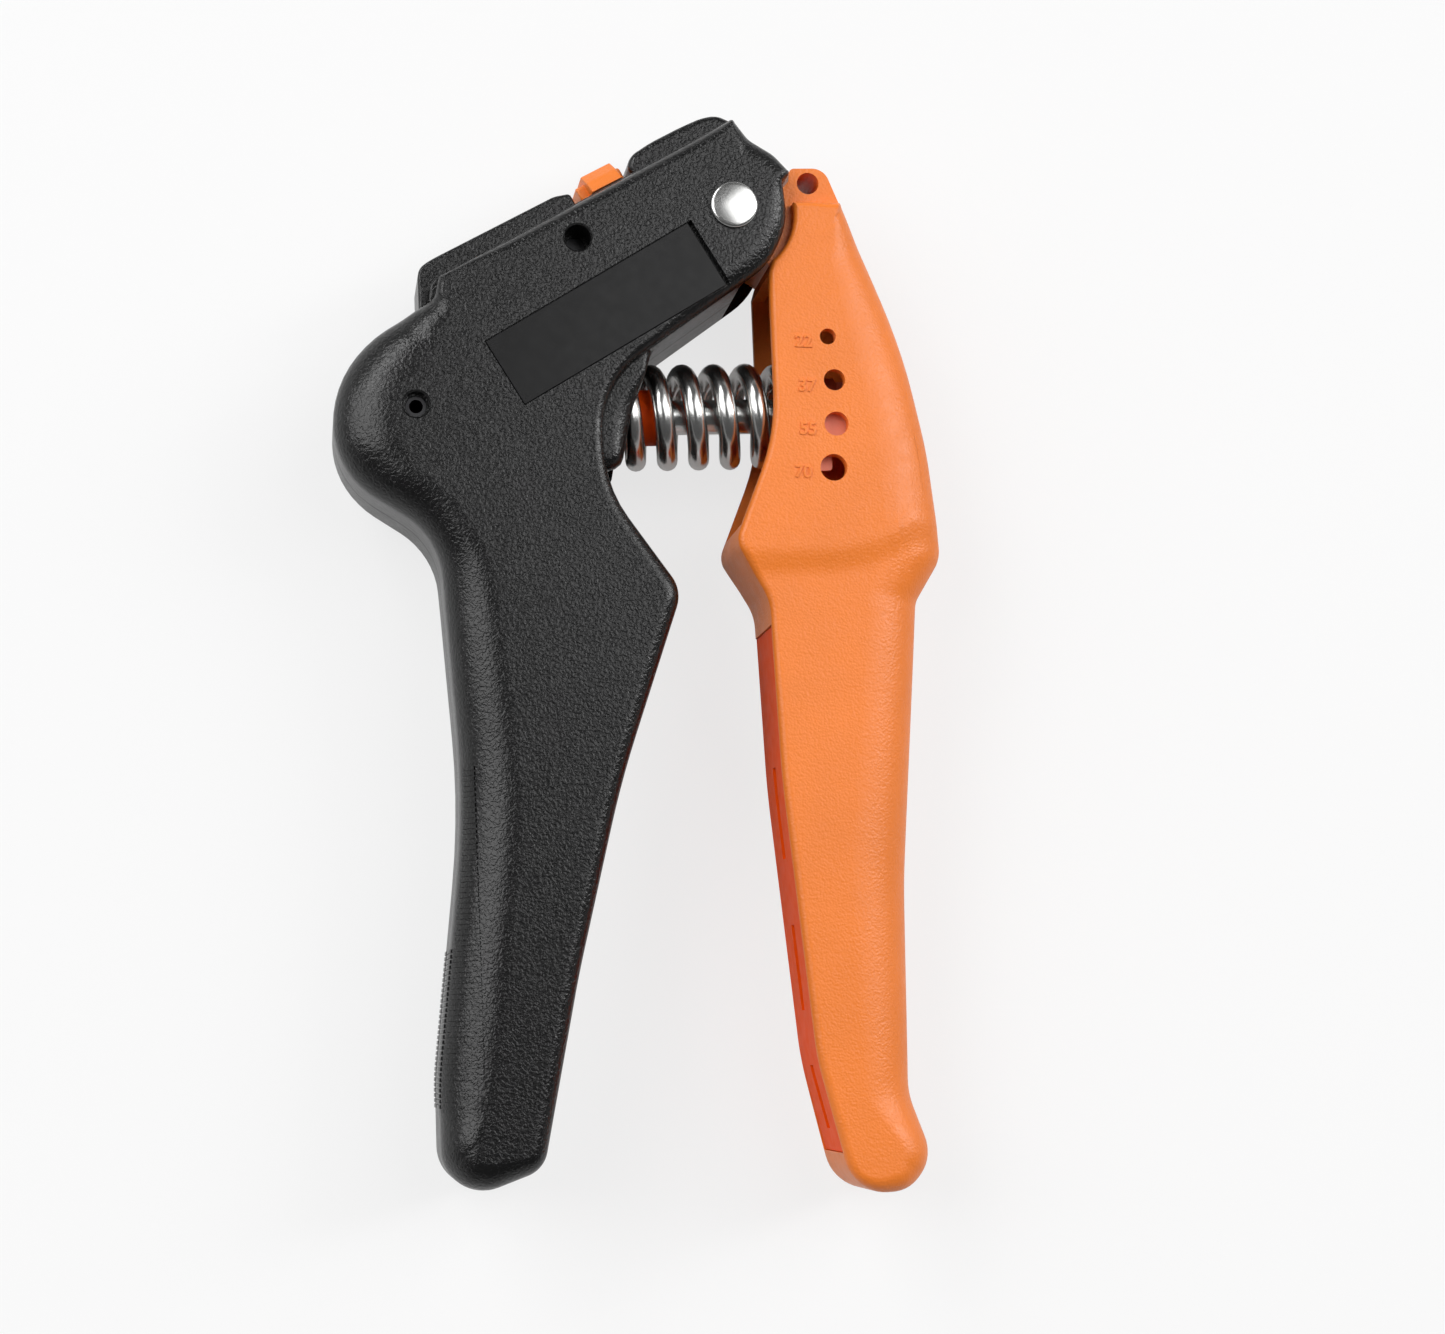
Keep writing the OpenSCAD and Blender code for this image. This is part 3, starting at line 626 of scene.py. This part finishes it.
def guard_lip(roll_steps):
    """The raised sickle that hoods the coil's fixed end."""
    plan = [(-12.7, -21.2), (-14.6, -18.7), (-23.5, -25.4), (-23.5, -38.4), (-19.6, -38.7), (-18.7, -38.5),
            (-17.8, -37.8), (-17.4, -36.9), (-16.8, -33.9), (-16.2, -31.3), (-15.5, -28.8), (-14.5, -26.5),
            (-13.4, -24.5)]
    rolls = [(-16.2, -31.3, 2.6, 2.0), (-13.4, -24.5, 1.2, 1.4), (-17.8, -37.8, 2.0, 2.0),
             (-23.5, -32, 0.3, 0.3)]
    foot, top = 20, 23.8
    outline = dense([Vector(p) * MM for p in plan], 0.6)
    return rolled_solid(outline, rolls, [(0, 0, 0.1, 0.1)], foot, top, 0, roll_steps)


def case_skin(props):
    """The rounded solid that the front shell is kept inside: face, spine and guard lip."""
    seam = props.seam / MM
    skin = rolled_solid(outline_at("front_shell", 25), CASE_ROLLS, [(0, 0, seam, seam)], MIDDLE,
                        CASE_TOP - SUNK, props.skin, props.roll_steps)
    for half in spine(props.skin / MM):
        skin = combined(skin, half, "UNION")
    return combined(skin, guard_lip(props.roll_steps), "UNION")


class GRIP_OT_case(bpy.types.Operator):
    """Rounds the two shells of the fixed grip"""

    bl_idname = "grip.case"
    bl_label = "Case shells"

    def execute(self, context):
        props = context.scene.grip_case
        # thickens the wall where the rolled edge is widest, in the front shell and in the back one
        bulb = [(-62, -48), (-53.8, -48), (-53.8, -14), (-62, -14)]
        low, high = 18, 24
        front = combined(cad_copy("front_shell"), prism(bulb, low, high), "UNION")
        front = combined(front, case_skin(props), "INTERSECT")
        holes = [(*SEAT, 1.9), (*LOCK, 1.95)]
        front = combined(front, rim_cutter(holes, CASE_TOP - SUNK), "DIFFERENCE")
        near, far, half, floor = 17.45, 18.08, 5.5, 24.5  # the deep slit at the label's end
        slit = [LABEL + Vector(p) @ Matrix.Rotation(-LABEL_ANGLE, 2)
                for p in ((near, -half), (far, -half), (far, half), (near, half))]
        front = combined(front, prism(slit, floor, CASE_TOP + 0.5), "DIFFERENCE")
        put("case_front", front, "case", "case_black", ["front_shell"])
        back = combined(cad_copy("back_shell"), prism(bulb, 2 * MIDDLE - high, 2 * MIDDLE - low), "UNION")
        back = combined(back, turned_over(case_skin(props)), "INTERSECT")
        put("case_back", back, "case", "case_black", ["back_shell"])
        return {"FINISHED"}


class GRIP_OT_ribs(bpy.types.Operator):
    """Raises the fine cross ribs on the rounded palm side of the fixed grip"""

    bl_idname = "grip.ribs"
    bl_label = "Grip ribs"

    def execute(self, context):
        props = context.scene.grip_case
        pitch, tall, wide = props.rib_pitch / MM, props.rib_height / MM, 0.52
        # first and last rib, then how far they reach in x and in z: on the rolled edge and on the side
        fields = ((-82, -131.5, -50, -40.9, 21.2, 25.9), (-108, -131.5, -50, -42, 14, 20.6))
        for side in ("front", "back"):
            skin = rolled_solid(outline_at("front_shell", 25), CASE_ROLLS, [(0, 0, 0.3, 0.3)], MIDDLE,
                                CASE_TOP - SUNK + 0.7 * tall, -props.rib_height, props.roll_steps)
            comb = bmesh.new()
            for first, last, x0, x1, z0, z1 in fields:
                for k in range(int((first - last) / pitch)):
                    for vert in bmesh.ops.create_cube(comb, size=1)["verts"]:
                        vert.co = at(x0 + (x1 - x0) * (vert.co.x + 0.5),
                                     first - k * pitch + wide * vert.co.y,
                                     z0 + (z1 - z0) * (vert.co.z + 0.5))
            ribs = combined(comb, skin, "INTERSECT")
            put("grip_ribs_" + side, ribs if side == "front" else turned_over(ribs), "case", "case_black")
        return {"FINISHED"}


class GRIP_OT_label(bpy.types.Operator):
    """Makes the bare label plate with broken edges"""

    bl_idname = "grip.label"
    bl_label = "Label plate"

    def execute(self, context):
        plate = cad_copy("label_plate")
        along = Vector((math.cos(LABEL_ANGLE), math.sin(LABEL_ANGLE), 0))
        end = max(vert.co @ along for vert in plate.verts)
        for vert in plate.verts:  # widens the dark slit at the end beside the rivet
            if end - vert.co @ along < 0.1 * MM:
                vert.co -= along * 0.2 * MM
        put("label", rounded(plate, 0.12, 3), "case", "label_black", ["label_plate"])
        return {"FINISHED"}


class GRIP_OT_rivet(bpy.types.Operator):
    """Turns the hinge rivet with its low domed head and flush tail"""

    bl_idname = "grip.rivet"
    bl_label = "Hinge rivet"

    def execute(self, context):
        top, head, shank, tail_edge = 26.9, 3.5, 2.5, 0.18
        under = CASE_TOP + SUNK
        dome = [(0.0, top)] + [(0.31 * k, top - 0.0024 * k * k) for k in range(1, 11)]
        bend, bend_centre = 0.4, 26.24  # radius and height of the rim's curve
        rim = [(head - bend + bend * math.sin(a), bend_centre + bend * math.cos(a))
               for a in (math.radians(d) for d in range(15, 91, 15))]
        rest = [(head, under), (shank, under), (shank, tail_edge), (shank - tail_edge, 0.0), (0.0, 0.0)]
        rivet = turned(dome + rim + rest, 96, 2 * WELD)
        put("hinge_rivet", rivet, "case", "polished_steel", ["pivot_rivet"])
        return {"FINISHED"}


class GRIP_OT_lock(bpy.types.Operator):
    """Shapes the lock lever with its stepped thumb tab"""

    bl_idname = "grip.lock"
    bl_label = "Lock lever"

    def execute(self, context):
        lever = cut_away(cad_copy("lock_lever"), at(*ridge(0, 12.6), 0), (*ridge(0, 1), 0))
        foot = 12.52  # a hair below the cut
        tab = [(foot, 5.8), (foot, 20.2), (14.3, 19.1), (15.88, 17.3), (15.88, 8.7), (14.3, 6.9)]
        ends = [(foot, 8.9), (foot, 17.1), (14.5, 17.1), (14.86, 16.4), (14.86, 9.6), (14.5, 8.9)]
        for section, start, end, round_off in ((tab, -16.4, -11.3, 0.25), (ends, -17.8, -10.4, 0.3)):
            lever = combined(lever, rounded(ridge_bar(section, start, end), round_off, 3), "UNION")
        put("lock_lever_shaped", lever, "lock", "orange", ["lock_lever"])
        return {"FINISHED"}


# ---- Moving handle ----


def plateau_fall(x, y, step):
    """How far the handle's face lies below its plateau at a point in millimetres."""
    straight, highest, bend_from, rise, run = -50.6, -46.5, 12, 0.0236, 4.6
    edge = straight if x < bend_from else min(highest, straight + rise * (x - bend_from) ** 2)
    t = min(1.0, max(0.0, (edge - y) / run))
    return step * eased(t)


class GRIP_OT_handle(bpy.types.Operator):
    """Rounds the moving handle and steps its face down below the plateau"""

    bl_idname = "grip.handle"
    bl_label = "Moving handle"

    def execute(self, context):
        scene = context.scene
        step = scene.grip_handle.step_down / MM
        low, high = 2 * MIDDLE - HANDLE_TOP + SUNK, HANDLE_TOP - SUNK
        skin = rolled_solid(outline_at("moving_handle", 22.9), HANDLE_ROLLS, HANDLE_LOW_ROLLS, low, high,
                            scene.grip_case.skin, scene.grip_case.roll_steps)
        # a net of cuts round the crease lets the face fall smoothly
        crease_low, crease_high, pitch = -56, -41, 0.7
        for k in range(20):
            bmesh.ops.bisect_plane(skin, geom=everything(skin), dist=CUT,
                                   plane_co=at(0, crease_low + pitch * k, 0), plane_no=(0, 1, 0))
        for x in (6, 10, 13, 15, 17, 19, 21, 23, 25):
            strip = [f for f in skin.faces
                     if all((crease_low - 0.5) * MM < v.co.y < crease_high * MM for v in f.verts)]
            around = dict.fromkeys(part for f in strip for part in (f, *f.verts, *f.edges))
            bmesh.ops.bisect_plane(skin, geom=list(around), dist=CUT, plane_co=at(x, 0, 0),
                                   plane_no=(1, 0, 0))
        for vert in skin.verts:
            fall = plateau_fall(vert.co.x / MM, vert.co.y / MM, step) * MM
            vert.co.z += -fall if vert.co.z > MIDDLE * MM else fall
        hinge = [(-16, -16), (13, -16), (13, -0.5), (15.4, 0.9), (19, 1.3), (19, 8), (-16, 8)]
        tongue = prism(hinge, 5.2, 20.8)  # leaves the hub and the lug as thick as they are
        skin = combined(skin, tongue, "UNION")
        handle = combined(cad_copy("moving_handle"), skin, "INTERSECT")
        put("handle_shaped", handle, "handle", "orange", ["moving_handle"])
        return {"FINISHED"}


class GRIP_OT_numbers(bpy.types.Operator):
    """Raises the plain setting numbers beside the windows"""

    bl_idname = "grip.numbers"
    bl_label = "Setting numbers"

    def execute(self, context):
        joined = bmesh.new()
        slant = Matrix.Rotation(math.radians(-3), 4, "Z")
        places = (("22", 9.9, -20.1), ("37", 10.1, -26.8), ("55", 10.0, -33.3), ("70", 9.0, -39.7))
        for text, x, y in places:
            curve = bpy.data.curves.new(text, "FONT")
            curve.body, curve.size = text, context.scene.grip_handle.number_size
            curve.align_x = curve.align_y = "CENTER"
            curve.extrude, curve.bevel_depth = 0.1 * MM, 0.07 * MM
            letters = bpy.data.objects.new(text, curve)
            context.scene.collection.objects.link(letters)
            mesh = bpy.data.meshes.new_from_object(letters.evaluated_get(context.evaluated_depsgraph_get()))
            mesh.transform(Matrix.Translation(at(x, y, HANDLE_TOP)) @ slant)
            joined.from_mesh(mesh)
            bpy.data.objects.remove(letters)
            bpy.data.meshes.remove(mesh)
            bpy.data.curves.remove(curve)
        bmesh.ops.remove_doubles(joined, verts=joined.verts, dist=WELD)
        put("setting_numbers", joined, "handle", "orange")
        return {"FINISHED"}


# ---- Spring ----


class GRIP_OT_spring(bpy.types.Operator):
    """Winds the coil spring: one closed curl at each end and open curls between them"""

    bl_idname = "grip.spring"
    bl_label = "Coil spring"

    def execute(self, context):
        props = context.scene.grip_spring
        low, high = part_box("compression_spring")
        whole = high.x - low.x
        run = whole - 2 * props.wire_radius
        closed = (1, props.closed_pitch)
        opened = (props.open_turns, (run - 2 * props.closed_pitch) / props.open_turns)
        bm = bmesh.new()
        phase = math.radians(16)
        centre = Vector((low.x + props.wire_radius, SEAT.y * MM, MIDDLE * MM))
        place = (Matrix.Translation(centre) @ Matrix.Rotation(phase, 4, "X")
                 @ Matrix.Translation((0, props.coil_radius, 0)))
        ring = bmesh.ops.create_circle(bm, cap_ends=False, segments=props.sides, radius=props.wire_radius,
                                       matrix=place)["verts"]
        first = list(dict.fromkeys(e for v in ring for e in v.link_edges))
        geom = ring + first
        for turns, pitch in (closed, opened, closed):
            geom = bmesh.ops.spin(bm, geom=geom, cent=centre, axis=(1, 0, 0),
                                  dvec=(pitch / props.steps, 0, 0), angle=math.tau * turns,
                                  steps=turns * props.steps, use_duplicate=False)["geom_last"]
            centre = centre + Vector((pitch * turns, 0, 0))
        last = [g for g in geom if isinstance(g, bmesh.types.BMEdge)]
        for end in (first, last):
            bmesh.ops.edgeloop_fill(bm, edges=end)
        bmesh.ops.recalc_face_normals(bm, faces=bm.faces)
        spring = put("coil_spring", bm, "swing", "polished_steel", ["compression_spring"])
        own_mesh(spring)
        return {"FINISHED"}


# ---- Stage ----


def lamp(name, place, target, size, watts):
    """A rectangular soft lamp that faces its target, all in metres."""
    light = bpy.data.lights.new(name, "AREA")
    light.shape, light.size, light.size_y, light.energy = "RECTANGLE", size[0], size[1], watts
    obj = bpy.data.objects.new(name, light)
    bpy.context.scene.collection.objects.link(obj)
    obj.location = place
    obj.rotation_euler = (Vector(target) - Vector(place)).to_track_quat("-Z", "Y").to_euler()


def bowl(radius, rim, height):
    """A wide flat floor whose border rises in a curve, as one smooth surface, in millimetres."""
    profile = [(0, 0), (0.5 * radius, 0), (radius, 0)]
    profile += [(radius + rim * math.sin(a), height * (1 - math.cos(a)))
                for a in (math.radians(d) for d in range(9, 91, 9))]
    bm = turned(profile, 64, 100 * WELD)
    if sum(face.normal.z for face in bm.faces) < 0:
        bmesh.ops.reverse_faces(bm, faces=bm.faces)
    for face in bm.faces:
        face.smooth = True
    return bm


def pale_paint(name, colour, share, mirrored):
    """Floor paint, part of which looks plain white to the camera and, less so, to metal and glass."""
    n = Nodes(name)
    n.shade(Base_Color=(*colour, 1), Roughness=0.9, Specular_IOR_Level=0.1)
    path = n.add("ShaderNodeLightPath").outputs
    bent = n.add("ShaderNodeMath", {0: path["Is Glossy Ray"], 1: path["Is Transmission Ray"]},
                 operation="MAXIMUM")
    bent = n.add("ShaderNodeMath", {0: bent.outputs[0], 1: mirrored}, operation="MULTIPLY")
    part = n.add("ShaderNodeMath", {0: path["Is Camera Ray"], 1: share, 2: bent.outputs[0]},
                 operation="MULTIPLY_ADD")
    white = n.add("ShaderNodeEmission", {"Strength": 1.0})
    mix = n.add("ShaderNodeMixShader", {0: part.outputs[0], 1: n.shader.outputs[0], 2: white.outputs[0]})
    n.tree.links.new(mix.outputs[0], n.tree.nodes["Material Output"].inputs["Surface"])
    return n.material


class GRIP_OT_stage(bpy.types.Operator):
    """Lays the pale floor and sets the lamps, the even light and the camera"""

    bl_idname = "grip.stage"
    bl_label = "Stage"

    def execute(self, context):
        props = context.scene.grip_stage
        bm = bowl(2400, 800, 1400)
        bmesh.ops.translate(bm, verts=bm.verts, vec=at(0, 0, -0.2))
        mesh = bpy.data.meshes.new("floor")
        bm.to_mesh(mesh)
        bm.free()
        mesh.materials.append(pale_paint("floor_paint", props.floor_colour, share=0.75, mirrored=0.26))
        floor = bpy.data.objects.new("floor", mesh)
        context.scene.collection.objects.link(floor)

        world = bpy.data.worlds.new("even_light")
        world.use_nodes = True
        context.scene.world = world
        sky = world.node_tree.nodes["Background"]
        sky.inputs["Color"].default_value = (1, 1, 1, 1)
        sky.inputs["Strength"].default_value = props.sky

        middle = (-0.01, -0.07, 0.01)
        lamp("right_lamp", (0.78, 0.42, 1.35), middle, (0.95, 1.6), props.right_power)
        lamp("edge_lamp", (1.35, 0.3, 1.0), middle, (0.35, 1.0), props.edge_power)
        lamp("left_lamp", (-1.0, 0.26, 0.95), middle, (0.7, 1.3), props.left_power)
        lamp("top_lamp", (-0.72, 0.86, 0.95), middle, (0.6, 0.5), props.top_power)

        camera = bpy.data.objects.new("camera", bpy.data.cameras.new("camera"))
        camera.data.lens = props.lens
        camera.data.sensor_fit = "HORIZONTAL"
        camera.location = props.camera_place
        camera.rotation_euler = props.camera_turn
        camera.data.clip_start, camera.data.clip_end = 0.01, 20
        context.scene.collection.objects.link(camera)
        context.scene.camera = camera
        context.scene.view_settings.view_transform = "Standard"
        return {"FINISHED"}


OPERATORS = [GRIP_OT_finishes, GRIP_OT_case, GRIP_OT_ribs, GRIP_OT_label, GRIP_OT_rivet, GRIP_OT_lock,
             GRIP_OT_handle, GRIP_OT_numbers, GRIP_OT_spring, GRIP_OT_stage]


class GRIP_PT_panel(bpy.types.Panel):
    """Lists the pieces of the hand grip strengthener"""

    bl_idname = "GRIP_PT_panel"
    bl_label = "Hand grip strengthener"
    bl_space_type = "VIEW_3D"
    bl_region_type = "UI"
    bl_category = "Grip"

    def draw(self, context):
        for name in GROUPS:
            group = getattr(context.scene, name)
            box = self.layout.box()
            for key in group.bl_rna.properties.keys():
                if key not in {"rna_type", "name"}:
                    box.prop(group, key)
        for operator in OPERATORS:
            self.layout.operator(operator.bl_idname)


CLASSES = [*GROUPS.values(), *OPERATORS, GRIP_PT_panel]


def register():
    for cls in CLASSES:
        bpy.utils.register_class(cls)
    for name, group in GROUPS.items():
        setattr(bpy.types.Scene, name, PointerProperty(type=group))


def unregister():
    for name in GROUPS:
        delattr(bpy.types.Scene, name)
    for cls in reversed(CLASSES):
        bpy.utils.unregister_class(cls)


def main():
    register()
    for operator in OPERATORS:
        getattr(bpy.ops.grip, operator.bl_idname.split(".")[1])()


if __name__ == "__main__":
    main()
